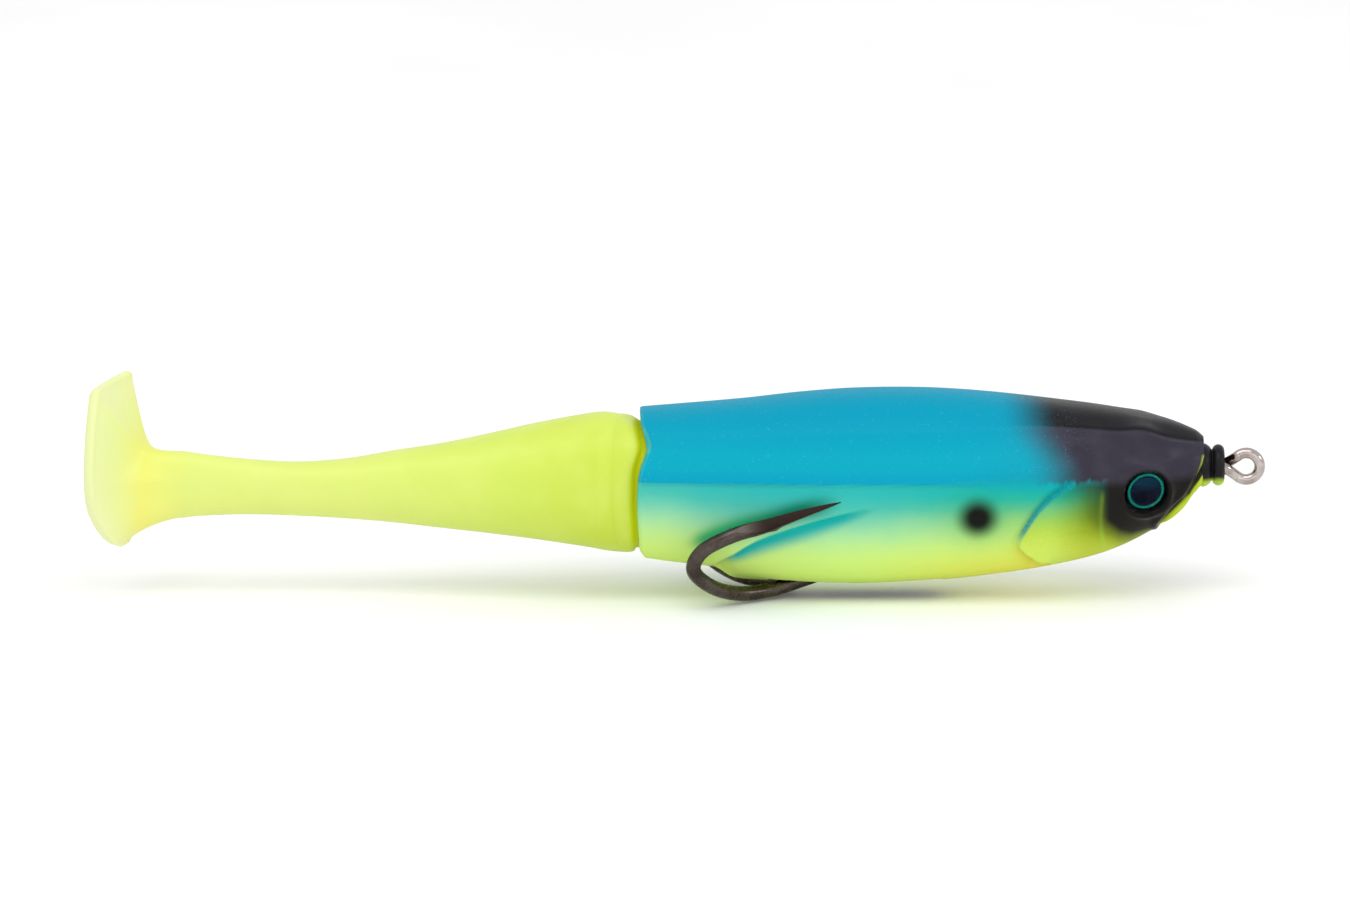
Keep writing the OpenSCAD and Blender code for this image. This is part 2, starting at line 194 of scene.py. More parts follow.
def add_object(name, data):
    """A new object in the scene."""
    obj = bpy.data.objects.new(name, data)
    bpy.context.scene.collection.objects.link(obj)
    return obj


def make_mesh(name, verts, faces, fields, material, smooth=True):
    """A mesh from points in millimetres; rest positions and painted fields are kept as attributes."""
    mesh = bpy.data.meshes.new(name)
    verts = np.asarray(verts, float)
    mesh.from_pydata((verts * MM).tolist(), [], faces)
    rest = mesh.attributes.new("rest", "FLOAT_VECTOR", "POINT")
    rest.data.foreach_set("vector", verts.astype(np.float32).ravel())
    for key, values in (fields or {}).items():
        layer = mesh.attributes.new(key, "FLOAT", "POINT")
        layer.data.foreach_set("value", np.asarray(values, np.float32).ravel())
    mesh.polygons.foreach_set("use_smooth", [smooth] * len(mesh.polygons))
    mesh.update()
    if material:
        mesh.materials.append(material)
    return add_object(name, mesh)


def grid_faces(rows, cols, keep=None):
    """Quads of a grid whose rows are closed rings; keep says which quads stay."""
    faces = []
    for i in range(rows - 1):
        for j in range(cols):
            if keep is None or keep[i, j]:
                k = (j + 1) % cols
                faces.append((i * cols + j, i * cols + k, (i + 1) * cols + k, (i + 1) * cols + j))
    return faces


def capped(rows, cols):
    """The same grid with its first and last rings closed."""
    first = tuple(range(cols - 1, -1, -1))
    last = tuple((rows - 1) * cols + j for j in range(cols))
    return grid_faces(rows, cols) + [first, last]


def revolve(name, profile, place, material, sides=96):
    """A revolved piece: profile rows are (height, radius), and place puts local points in the row frame."""
    a = np.linspace(0, 2 * np.pi, sides, endpoint=False)
    rings = [np.stack([r * np.cos(a), r * np.sin(a), np.full(sides, h)], 1) for h, r in profile]
    verts = place(np.concatenate(rings))
    radius = np.concatenate([np.full(sides, r) for h, r in profile])
    return make_mesh(name, verts, capped(len(profile), sides), {"radius": radius}, material)


def wire(name, route, radii, material, sides=28, extra=None):
    """A round wire along a route; its ring turns as little as it can. extra reshapes the rings."""
    p = np.asarray(route, float)
    tangent = np.gradient(p, axis=0)
    tangent /= np.linalg.norm(tangent, axis=1)[:, None]
    up = np.zeros_like(p)
    u = np.array([0, 0, 1.0])
    for i, t in enumerate(tangent):
        u = u - (u @ t) * t
        u /= np.linalg.norm(u)
        up[i] = u
    across = np.cross(tangent, up)
    a = -2 * np.pi * np.arange(sides) / sides
    rings = p[:, None, :] + np.asarray(radii)[:, None, None] * (
        np.cos(a)[None, :, None] * up[:, None, :] + np.sin(a)[None, :, None] * across[:, None, :])
    if extra is not None:
        rings = extra(rings, p)
    length = np.concatenate([[0], np.cumsum(np.linalg.norm(np.diff(p, axis=0), axis=1))])
    fields = {"along": np.repeat(length, sides)}
    obj = make_mesh(name, rings.reshape(-1, 3), capped(len(p), sides), fields, material)
    recalculate(obj)
    return obj


def recalculate(obj):
    """Turns a mesh's faces outwards."""
    work = bmesh.new()
    work.from_mesh(obj.data)
    bmesh.ops.recalc_face_normals(work, faces=work.faces)
    work.to_mesh(obj.data)
    work.free()


# ---------------- materials

# How bright the studio makes a white surface; colours are given as they look, so they are divided by it
STUDIO_LIGHT = 1.12


def rgb(r, g, b):
    """Linear surface colour that looks like these 0 to 255 display values in the studio."""
    return tuple((c / 12.92 if c <= 0.04045 else ((c + 0.055) / 1.055) ** 2.4) / STUDIO_LIGHT
                 for c in (r / 255, g / 255, b / 255)) + (1.0,)


class Paint:
    """A node material, built from the bottom up."""

    def __init__(self, name, **settings):
        self.material = bpy.data.materials.new(name)
        self.material.use_nodes = True
        self.tree = self.material.node_tree
        self.shader = self.tree.nodes["Principled BSDF"]
        for key, value in settings.items():
            self.shader.inputs[key.replace("_", " ")].default_value = value

    def node(self, kind, **settings):
        n = self.tree.nodes.new(kind)
        for key, value in settings.items():
            setattr(n, key, value)
        return n

    def put(self, socket, value):
        if isinstance(value, bpy.types.NodeSocket):
            self.tree.links.new(value, socket)
        else:
            socket.default_value = value

    def field(self, name):
        return self.node("ShaderNodeAttribute", attribute_name=name).outputs["Fac"]

    def rest(self):
        return self.node("ShaderNodeAttribute", attribute_name="rest").outputs["Vector"]

    def axis(self, name):
        split = self.node("ShaderNodeSeparateXYZ")
        self.put(split.inputs[0], self.rest())
        return split.outputs[name]

    def math(self, operation, a, b):
        n = self.node("ShaderNodeMath", operation=operation)
        self.put(n.inputs[0], a)
        self.put(n.inputs[1], b)
        return n.outputs[0]

    def noise(self, scale, detail=3.0, rough=0.5):
        """Noise fixed to the piece's rest position, with scale per millimetre."""
        n = self.node("ShaderNodeTexNoise")
        self.put(n.inputs["Vector"], self.rest())
        n.inputs["Scale"].default_value = scale
        n.inputs["Detail"].default_value = detail
        n.inputs["Roughness"].default_value = rough
        return n.outputs["Fac"]

    def span(self, value, low, high, to_low=0.0, to_high=1.0):
        """value taken smoothly from the range low to high into the range to_low to to_high."""
        n = self.node("ShaderNodeMapRange", interpolation_type="SMOOTHSTEP")
        self.put(n.inputs["Value"], value)
        for key, number in zip(("From Min", "From Max", "To Min", "To Max"), (low, high, to_low, to_high)):
            n.inputs[key].default_value = number
        return n.outputs["Result"]

    def ramp(self, value, stops):
        n = self.node("ShaderNodeValToRGB")
        self.put(n.inputs["Fac"], value)
        ramp = n.color_ramp
        while len(ramp.elements) > 1:
            ramp.elements.remove(ramp.elements[-1])
        for i, (place, colour) in enumerate(stops):
            e = ramp.elements[0] if i == 0 else ramp.elements.new(place)
            e.position = place
            e.color = colour
        return n.outputs["Color"]

    def mix(self, amount, a, b):
        n = self.node("ShaderNodeMix", data_type="RGBA")
        self.put(n.inputs["Factor"], amount)
        self.put(n.inputs[6], a)
        self.put(n.inputs[7], b)
        return n.outputs[2]

    def bump(self, height, strength, distance):
        """Fine surface relief, with distance in millimetres."""
        n = self.node("ShaderNodeBump")
        self.put(n.inputs["Height"], height)
        n.inputs["Strength"].default_value = strength
        n.inputs["Distance"].default_value = distance * MM
        self.put(self.shader.inputs["Normal"], n.outputs["Normal"])

    def colour(self, value):
        self.put(self.shader.inputs["Base Color"], value)

    def rough(self, value):
        self.put(self.shader.inputs["Roughness"], value)


# Stretches along the lure over which the paint changes
RIM_FADE = (-64, -50)
FLANK_FADE = (-44, -22)
CHEEK_FADE = (-21.5, -16.2)
# Over this stretch the painted shadow of the hook's arm turns from paler green at the bend to darker green
# towards the point
HOOK_SHADOW_FADE = (-56, -48)


def back_colour(p):
    """Blue, deepest along the top, with a few pale sprayed specks."""
    blue = p.ramp(p.span(p.axis("Z"), -0.4, 7.5), [
        (0.0, rgb(0, 154, 186)), (0.1, rgb(2, 162, 187)), (0.35, rgb(4, 162, 186)),
        (0.62, rgb(0, 156, 184)), (1.0, rgb(0, 150, 181))])
    specks = p.span(p.noise(4.2, 2.0), 0.66, 0.74)
    return p.mix(p.math("MULTIPLY", specks, 0.12), blue, rgb(150, 215, 225))


def flank_colour(p, x):
    """Turquoise under the crease, fading to lime at the belly; it thins out at the rim and at the gills."""
    wobble = p.math("MULTIPLY", p.math("SUBTRACT", p.noise(0.35), 0.5), 0.9)
    z = p.math("ADD", p.axis("Z"), wobble)
    lower = p.math("SUBTRACT", z, p.span(x, *RIM_FADE, 1.5, 0.0))
    rear = p.ramp(p.span(lower, -11.5, -0.2), [
        (0.0, rgb(218, 248, 124)), (0.16, rgb(212, 246, 134)), (0.32, rgb(196, 240, 148)),
        (0.47, rgb(172, 230, 164)), (0.62, rgb(144, 216, 172)), (0.75, rgb(108, 203, 176)),
        (0.87, rgb(74, 190, 175)), (1.0, rgb(44, 182, 180))])
    front = p.ramp(p.span(z, -10.5, 0.0), [
        (0.0, rgb(232, 232, 90)), (0.1, rgb(222, 238, 104)), (0.23, rgb(208, 238, 116)),
        (0.54, rgb(164, 216, 122)), (0.68, rgb(140, 203, 122)), (0.81, rgb(92, 188, 138)),
        (0.92, rgb(40, 178, 154)), (1.0, rgb(16, 172, 166))])
    return p.mix(p.span(x, *FLANK_FADE), rear, front)


def cheek_colour(p, x):
    """Lime gill plate, darker and more olive towards the eye, with a fine grain."""
    height = p.span(p.axis("Z"), -9.5, 0.2)
    plate = p.ramp(height, [
        (0.0, rgb(216, 238, 104)), (0.25, rgb(200, 226, 88)), (0.42, rgb(180, 215, 86)),
        (0.58, rgb(152, 206, 98)), (0.74, rgb(114, 195, 124)), (0.9, rgb(34, 174, 144)),
        (1.0, rgb(6, 156, 138))])
    near_eye = p.ramp(height, [
        (0.0, rgb(200, 214, 70)), (0.25, rgb(166, 186, 46)), (0.41, rgb(150, 172, 40)),
        (0.57, rgb(126, 154, 36)), (0.72, rgb(100, 142, 46)), (0.86, rgb(66, 132, 70)),
        (0.95, rgb(36, 112, 86)), (1.0, rgb(12, 88, 76))])
    grain = p.span(p.noise(7.0, 2.0), 0.58, 0.7, 0, 0.22)
    return p.mix(grain, p.mix(p.span(x, *CHEEK_FADE), plate, near_eye), rgb(104, 150, 54))


def head_colour(p):
    """Black with a painted sheen: purplish on the sides, deeper on the deck where the sheen is left out, and
    darker and browner below the crease.
    """
    cloud = p.span(p.noise(0.4), 0.3, 0.75)
    # side is the black with painted sheen, top the same black without it
    side = p.mix(cloud, rgb(50, 47, 59), rgb(58, 55, 68))
    top = p.mix(cloud, rgb(20, 19, 23), rgb(27, 25, 30))
    return p.mix(p.field("under_eye"), p.mix(p.field("deck"), side, top), rgb(24, 21, 18))


def skin_paint():
    """The body's paint, sprayed over soft plastic: each layer goes over the ones before it. Some layers are
    painted light: the hook arm's shadow, the shade in the recess under it, and the black head's sheen.
    """
    p = Paint("skin_paint", Coat_Weight=0.02, Coat_Roughness=0.25)
    x = p.axis("X")
    # painted shadow of the hook's arm, paler green at the bend and darker towards the point
    shade = p.mix(p.span(x, *HOOK_SHADOW_FADE), rgb(8, 176, 106), rgb(0, 124, 92))
    dots = p.span(p.noise(9.0, 1.0), 0.71, 0.75, 0, 0.5)
    colour = p.mix(p.field("upper"), flank_colour(p, x), back_colour(p))
    # the teal wedge under the hook's arm is overspray that also stands in as painted shade of its recess, and
    # the green band over the arm is its painted shadow
    for field, amount, layer in (
            ("recess_shade_wedge", 0.97, rgb(0, 186, 182)), ("hook_painted_shadow", 0.92, shade), ("cheek", 1.0, cheek_colour(p, x)),
            ("chin", 1.0, rgb(188, 206, 48)), ("behind_gill", 0.6, rgb(222, 198, 50)),
            ("gill", 0.95, rgb(10, 152, 158)), ("ridge", 0.8, rgb(172, 212, 60)),
            ("halo", 0.5, rgb(24, 150, 96)), ("spot", 1.0, rgb(22, 24, 20)),
            ("olive", 0.65, rgb(54, 66, 26)), ("black", 1.0, head_colour(p)),
            ("speckled", dots, rgb(120, 190, 200)), ("lips", 0.85, rgb(160, 190, 56)),
            ("mouth", 1.0, rgb(34, 20, 12)), ("rim", 1.0, rgb(9, 10, 8)), ("edge", 0.85, rgb(122, 196, 66)),
            ("inside", 1.0, rgb(190, 205, 60))):
        colour = p.mix(p.math("MULTIPLY", p.field(field), amount), colour, layer)
    p.colour(colour)
    satin = p.span(p.noise(2.4), 0.2, 0.8, 0.42, 0.54)
    p.rough(p.math("SUBTRACT", satin, p.math("MULTIPLY", p.field("black"), 0.14)))
    p.put(p.shader.inputs["Specular IOR Level"], p.span(p.field("black"), 0, 1, 0.05, 0.09))
    p.bump(p.noise(5.5, 4.0, 0.6), 0.18, 0.08)
    return p.material


def tail_paint():
    """Chartreuse soft plastic: deeper where it is thick, paler towards the thin edges."""
    p = Paint("tail_plastic", Specular_IOR_Level=0.25, Subsurface_Weight=0.12, Subsurface_Scale=0.003)
    x = p.axis("X")
    along = p.ramp(p.span(x, TAIL_END_X, RIM_X), [
        (0.0, rgb(228, 236, 170)), (0.012, rgb(228, 235, 156)), (0.032, rgb(236, 232, 118)),
        (0.1, rgb(222, 234, 130)), (0.5, rgb(218, 233, 122)), (0.85, rgb(208, 228, 98)),
        (1.0, rgb(200, 220, 70))])
    top = p.mix(p.span(p.axis("Z"), -8, 5, 0, 0.35), along, rgb(204, 224, 92))
    mottled = p.mix(p.span(p.noise(0.25, 2.0), 0.35, 0.7, 0, 0.14), top, rgb(232, 242, 140))
    edged = p.mix(p.math("MULTIPLY", p.field("thin"), 0.6), mottled, rgb(232, 240, 186))
    p.colour(p.mix(p.field("shoulder"), edged, rgb(212, 222, 24)))
    p.rough(p.span(p.noise(1.6), 0.25, 0.75, 0.3, 0.42))
    p.bump(p.noise(2.2, 4.0, 0.55), 0.16, 0.1)
    return p.material


def metal_paint(name, dark, light, rough_low, rough_high, metallic=1.0, scale=0.5):
    """Metal between two tones; a ground surface, where the piece has one, is darker."""
    p = Paint(name, Metallic=metallic)
    drawn = p.mix(p.span(p.noise(scale, 3.0), 0.25, 0.75), dark, light)
    p.colour(p.mix(p.field("ground"), drawn, rgb(40, 30, 27)))
    p.rough(p.span(p.noise(scale * 4, 3.0), 0.25, 0.75, rough_low, rough_high))
    p.bump(p.noise(scale * 12, 3.0), 0.04, 0.02)
    return p.material


def plastic_paint(name, dark, light, rough_low, rough_high):
    """Matt moulded plastic between two tones."""
    p = Paint(name, Specular_IOR_Level=0.4)
    p.colour(p.mix(p.span(p.noise(0.9), 0.3, 0.7), dark, light))
    p.rough(p.span(p.noise(3.0), 0.25, 0.75, rough_low, rough_high))
    p.bump(p.noise(4.0, 4.0), 0.12, 0.05)
    return p.material


def plug_paint():
    """Black above, lime below, where the head's spray ends."""
    p = Paint("plug_paint", Specular_IOR_Level=0.16, Coat_Weight=0.05, Coat_Roughness=0.2)
    z = p.math("ADD", p.axis("Z"), p.math("MULTIPLY", p.noise(1.2), 0.5))
    p.colour(p.mix(p.span(z, -1.2, -0.5), rgb(170, 200, 50), rgb(14, 13, 16)))
    p.rough(p.span(p.noise(3.0), 0.25, 0.75, 0.34, 0.48))
    p.bump(p.noise(5.0, 4.0), 0.12, 0.04)
    return p.material


def foil_paint():
    """Printed foil: a dark pupil in a bright teal ring, with a black surround, and a painted reflection that
    lightens the pupil's upper part.
    """
    p = Paint("eye_foil_paint", Specular_IOR_Level=0.04)
    radius = p.math("ADD", p.field("radius"), p.math("MULTIPLY", p.math("SUBTRACT", p.noise(3.0), 0.5), 0.08))
    print_colour = p.ramp(p.math("DIVIDE", radius, 2.2), [
        (0.0, rgb(3, 5, 26)), (0.6, rgb(3, 8, 34)), (0.74, rgb(2, 34, 60)), (0.8, rgb(8, 142, 128)),
        (0.85, rgb(16, 172, 146)), (0.9, rgb(4, 60, 48)), (0.94, rgb(5, 5, 5)), (1.0, rgb(5, 5, 4))])
    # painted reflection: lighter teal-blue towards the top of the pupil
    pupil_painted_reflection = p.math("MULTIPLY", p.span(p.axis("Z"), -2.0, -0.4, 0, 0.7), p.span(radius, 1.4, 1.62, 1, 0))
    p.colour(p.mix(pupil_painted_reflection, print_colour, rgb(0, 62, 88)))
    p.rough(p.span(p.noise(0.8), 0.3, 0.7, 0.3, 0.4))
    return p.material


def dome_paint():
    """Clear lens."""
    p = Paint("eye_dome_clear", Transmission_Weight=1.0, IOR=1.1)
    p.colour(p.mix(p.span(p.noise(0.8), 0.3, 0.7), rgb(244, 250, 252), rgb(255, 255, 255)))
    p.rough(p.span(p.noise(1.5), 0.3, 0.7, 0.0, 0.03))
    return p.material


SKIN = skin_paint()
TAIL_PLASTIC = tail_paint()
PLUG = plug_paint()
FOIL = foil_paint()
DOME = dome_paint()
HOOK_METAL = metal_paint("hook_black_nickel", rgb(66, 57, 53), rgb(96, 86, 81), 0.22, 0.32, 0.95)
TIE_METAL = metal_paint("tie_bright_wire", rgb(150, 138, 132), rgb(214, 204, 200), 0.1, 0.2)
BRASS = metal_paint("crimp_metal", rgb(150, 130, 90), rgb(184, 164, 116), 0.3, 0.5)
LEAD = metal_paint("ballast_lead", rgb(74, 76, 80), rgb(112, 114, 118), 0.5, 0.72, 0.8, 0.8)
PIN_METAL = metal_paint("pin_steel", rgb(150, 150, 152), rgb(206, 206, 208), 0.2, 0.36)
INSERT = plastic_paint("insert_plastic", rgb(188, 202, 34), rgb(208, 220, 50), 0.38, 0.55)

# ---------------- body

SIDES = 288
HEAD_RINGS, BODY_RINGS, INNER_RINGS = 60, 300, 60
RING_SAMPLES = 1441
# Its rings are closest together over this length of the head
FINE_HEAD = 6
# Powers of the superellipses that the sections follow
BACK_POWER, BELLY_POWER = 2.35, 2.15
# How far the skin's features stand out, or lie in
CREASE_STEP = 0.2
DECK_EDGE, DECK_CORNER, DECK_HOLLOW = 0.22, 0.62, 0.14
GILL_STEP, GILL_GROOVE = 0.42, 0.22
RIDGE_H, TAB_GROOVE = 0.16, 0.16
MOUTH_DEPTH, LOWER_LIP, LIP_LINE = 0.5, 0.22, 0.1
SOCKET_DEPTH, SOCKET_RIM, BROW = 0.85, 0.34, 0.95
RECESS, LEDGE = 0.75, 0.2
# Lines on the flanks, as (x, z)
GILL = [(-18.2, -0.35), (-19.2, -0.75), (-20.6, -1.6), (-22.1, -3.1), (-23.3, -4.95), (-24.1, -6.5),
        (-24.1, -7.4), (-22.3, -9.0), (-20.6, -9.8)]
RIDGE = [(-15.3, -1.0), (-15.5, -4.0), (-15.4, -6.2), (-15.1, -7.9)]
MOUTH = [(-4.7, 0.3), (-6.1, -2.4), (-7.7, -4.0), (-9.0, -5.7)]
LIPS = [(-4.6, 1.5), (-5.0, 0.2), (-5.6, -1.5), (-6.5, -3.0)]
# Lower edge of the black on the face
JAW = [(-17, -4.2), (-15.3, -5.0), (-13.5, -6.5), (-12.2, -6.9), (-9.9, -6.3), (-8.9, -5.7), (-7.5, -4.1),
       (-5.9, -2.6), (-4.6, -0.3)]
# Little moulded tab at the top of the rear rim
TAB = [(-63.75, 5.4), (-63.5, 4.8), (-63.4, 3.8), (-63.6, 2.9)]
# Ledge beside the hook's arm, and the middle of the painted green shadow over its point
FIN = [(-56, -9.8), (-54, -8.2), (-51.3, -6.4), (-47.1, -4.75), (-43, -3.55), (-39.2, -2.7)]
HOOK_LINE = [(-58.6, -8.3), (-57.2, -6.5), (-54, -4.9), (-50.6, -3.95), (-46.8, -2.8), (-42.6, -1.9)]
EYE = (-10.75, -1.72)
EYE_R = 2.15
SPOT = (-28.4, -3.9)
SLOT_FRONT, SLOT_REAR, SLOT_HALF, SLOT_TOP = -31.8, -50.2, 2.5, -7
SKIN_T = 1.3
NOSE_MID_Z = 0.15
# The hollow starts this far behind the nose
INNER_START = 9


def body_sections(x, inset=0.0):
    """Rings of the body's skin at each x, evenly spaced along each ring."""
    share = (NOSE_X - x) / BODY_LEN
    top, bottom = curve(BACK, share) - inset, curve(BELLY, share) + inset
    half = HALF_W * curve(WIDTH, share) - inset
    a = np.linspace(0, 2 * np.pi, RING_SAMPLES)
    rings = []
    for xi, t, b, w in zip(x, top, bottom, half):
        s = np.sin(a)
        y = w * np.where(s > 0, power(np.cos(a), BACK_POWER), power(np.cos(a), BELLY_POWER))
        z = CREASE_Z + np.where(s > 0, (t - CREASE_Z) * power(s, BACK_POWER),
                                (CREASE_Z - b) * power(s, BELLY_POWER))
        length = np.concatenate([[0], np.cumsum(np.hypot(np.diff(y), np.diff(z)))])
        at = np.linspace(0, length[-1], SIDES, endpoint=False)
        rings.append(np.stack([np.full(SIDES, xi), np.interp(at, length, y), np.interp(at, length, z)], 1))
    return np.array(rings)


def lip_shift(z):
    """The rear rim isn't flat: it steps forward near the back and reaches rearwards on the flank."""
    return 0.75 * bell(z - 3.2, 1.7) - 0.3 * bell(z + 2.5, 4.0) + 0.6 * step(-z, 7.8, 9.8)


def grid_normals(p):
    """Outward normals of a grid of rings that runs from the nose back."""
    around = np.roll(p, -1, 1) - np.roll(p, 1, 1)
    n = np.cross(np.gradient(p, axis=0), around)
    n /= np.maximum(np.linalg.norm(n, axis=2), 1e-9)[:, :, None]
    centre = p.mean(axis=1, keepdims=True)
    flip = np.sign(((p - centre) * n).sum(axis=2).mean())
    return n * flip


def crease_relief(x, z, flank):
    """The crease along the flank, the edge of the deck above it, and the deck's corner over the eye."""
    rearward = step(-x, 25, 33)
    deck_z = curve(DECK, x)
    crease = np.exp(-np.clip(z - CREASE_Z, 0, None) / 0.6) * step(z, CREASE_Z - 0.25, CREASE_Z)
    out = CREASE_STEP * rearward * crease
    out += (DECK_EDGE - DECK_HOLLOW * rearward) * bell(z - deck_z, 0.55)
    out -= DECK_HOLLOW * rearward * bell(z - deck_z * 0.52, 1.5)
    out += flank * DECK_CORNER * bell(x + 11.2, 1.9) * bell(z - deck_z - 0.1, 0.9)
    return out, {"deck": step(z - deck_z, -0.12, 0.12)}


def gill_relief(x, z, flank):
    """The gill plate stands proud in front of its edge."""
    d, _, along = to_line(x, z, GILL)
    ends = step(along, 0.0, 0.08) * (1 - step(along, 0.9, 1.0))
    by_height = sorted((b, a) for a, b in GILL)
    edge_x = np.interp(z, [b for b, a in by_height], [a for b, a in by_height])
    front = np.where(x > edge_x, 1.0, 0.0)
    out = flank * ends * GILL_STEP * front * np.exp(-d / 2.6)
    out -= flank * ends * GILL_GROOVE * (1 - front) * bell(d, 0.45)
    return out, {
        "gill": flank * step(along, 0.0, 0.1) * (1 - step(along, 0.5, 0.68)) * bell(d, 0.3 * (1.15 - along)),
        "behind_gill": flank * bell(d, 1.1) * (1 - front) * step(along, 0.65, 0.85),
        "cheek": np.clip(front * (1 - step(z, -0.9, 0.5)) * step(x, -24.6, -23.4), 0, 1),
    }


def ridge_relief(x, z, flank):
    """A thin upright ridge in front of the gill plate."""
    d, _, along = to_line(x, z, RIDGE)
    ridge = flank * step(along, 0, 0.15) * (1 - step(along, 0.85, 1)) * bell(d, 0.22)
    return RIDGE_H * ridge, {"ridge": ridge}


def mouth_relief(x, y, z, flank):
    """The mouth's groove, the swelling beside it and a thin raised line along the lip."""
    d = to_line(x, z, MOUTH)[0]
    lips = bell(to_line(x, z, LIPS)[0], 0.13) * flank
    out = LOWER_LIP * bell(d - 0.75, 0.4) * flank - MOUTH_DEPTH * bell(d, 0.26) + LIP_LINE * lips
    return out, {"mouth": bell(d, 0.22) * step(np.abs(y), 0.1, 0.5), "lips": lips}


def eye_relief(x, z, flank):
    """The eye's socket, the rim round it and the brow over it."""
    dx, dz = x - EYE[0], z - EYE[1]
    r = np.hypot(dx, dz)
    out = -flank * SOCKET_DEPTH * (1 - step(r, EYE_R - 0.1, EYE_R + 0.22))
    out += flank * SOCKET_RIM * bell(r - EYE_R - 0.42, 0.4)
    out += flank * BROW * bell(dx - 0.2, 2.0) * bell(dz - 3.05, 0.75)
    return out, {"rim": flank * (1 - step(r, EYE_R + 0.25, EYE_R + 0.6))}


def hook_relief(x, z, flank):
    """The ledge and the recess beside the hook's arm, with a teal wedge below, which also stands in as
    painted shade of the recess, and the arm's painted green shadow above.
    """
    d, side, along = to_line(x, z, FIN)
    ends = step(-x, 38.5, 43) * (1 - step(-x, 55, 58))
    below = np.where(side < 0, 1.0, 0.0)
    out = -flank * ends * RECESS * below * np.exp(-np.clip(d - 0.5, 0, None) / 1.6) * step(d, 0.0, 0.5)
    out += flank * ends * LEDGE * (1 - below) * np.exp(-d / 1.5)
    reach = 0.35 + 1.6 * np.sin(np.pi * np.clip(along, 0, 1)) ** 0.8
    # the teal wedge is teal overspray on the ledge that also stands in as painted shade of the recess
    wedge = np.where(below > 0, 1 - step(d, 0.4 * reach, 1.3 * reach), bell(d, 0.14))
    recess_shade_wedge = flank * step(along, 0.02, 0.2) * (1 - step(along, 0.8, 1.0)) * wedge
    # the green band over the arm is the arm's painted shadow
    d, side, along = to_line(x, z, HOOK_LINE)
    away = np.where(side < 0, np.clip(d - 0.3, 0, None) / 0.85, d / 0.9)
    shade = flank * bell(away, 1.0) * step(along, 0.03, 0.22) * (1 - step(along, 0.8, 1.0))
    return out, {"recess_shade_wedge": recess_shade_wedge, "hook_painted_shadow": shade}


def rim_relief(x, z, flank):
    """A groove round the little tab at the top of the rear rim, and the pale edge of the paint there."""
    tab = to_line(x, z, TAB)[0]
    edge = flank * np.maximum(0.5 * bell(tab, 0.12), 1 - step(x - RIM_X, 0.1, 0.3))
    return -flank * TAB_GROOVE * bell(tab, 0.16), {"edge": edge}


def black_fields(x, z):
    """The black fades in forwards, sooner on the back than on the flank, and stops raggedly at the crease.

    On the face it reaches down to the jaw, with an olive fringe behind it and a lime chin below it."""
    fade_at = -19.2 - 3.0 * step(z, 0.5, 6.5)
    spray = 0.92 * step(x - fade_at, -4.2, 2.3) + 0.08 * step(x, -31, -20)
    ragged = 0.13 * np.sin(x * 3.1) + 0.09 * np.sin(x * 7.7 + 2) + 0.06 * np.sin(x * 12.9 + 1)
    spray *= step(z + ragged, -0.55, 0.1)
    above_jaw = z - np.interp(x, [a for a, b in JAW], [b for a, b in JAW])
    soft = np.interp(x, [-14.5, -8], [1.3, 0.1])
    face = step(x, -16.6, -14.5) * step(above_jaw / soft, -1, 1)
    black = np.maximum(spray, face)
    return {
        "black": np.clip(black, 0, 1),
        "olive": step(x, -18.4, -15.2) * step(above_jaw, -2.6, 0.8) * (1 - black) * step(-x, 8.5, 10),
        "chin": step(x, -9.6, -8.2) * (1 - step(above_jaw, -0.2, 0.4)),
        "under_eye": 1 - step(z, -1.1, 0.2),
        "speckled": step(x, -29, -24) * (1 - step(x, -19, -15.5)) * step(z, -0.5, 1.5),
    }


def body_relief(x, y, z):
    """How far the skin stands out at each point, and the fields its paint reads."""
    flank = step(np.abs(y), 0.6, 2.0)
    blur = 0.1 + 1.5 * step(x, -34, -23)
    from_spot = np.hypot(x - SPOT[0], z - SPOT[1])
    fields = {
        "upper": step((z - CREASE_Z) / blur, -1, 1),
        "spot": flank * (1 - step(from_spot, 0.75, 2.9)),
        "halo": flank * bell(from_spot, 2.6),
        **black_fields(x, z),
    }
    out = np.zeros_like(x)
    for relief, painted in (
            crease_relief(x, z, flank), gill_relief(x, z, flank), ridge_relief(x, z, flank),
            mouth_relief(x, y, z, flank), eye_relief(x, z, flank), hook_relief(x, z, flank),
            rim_relief(x, z, flank)):
        out += relief
        fields.update(painted)
    return out, fields


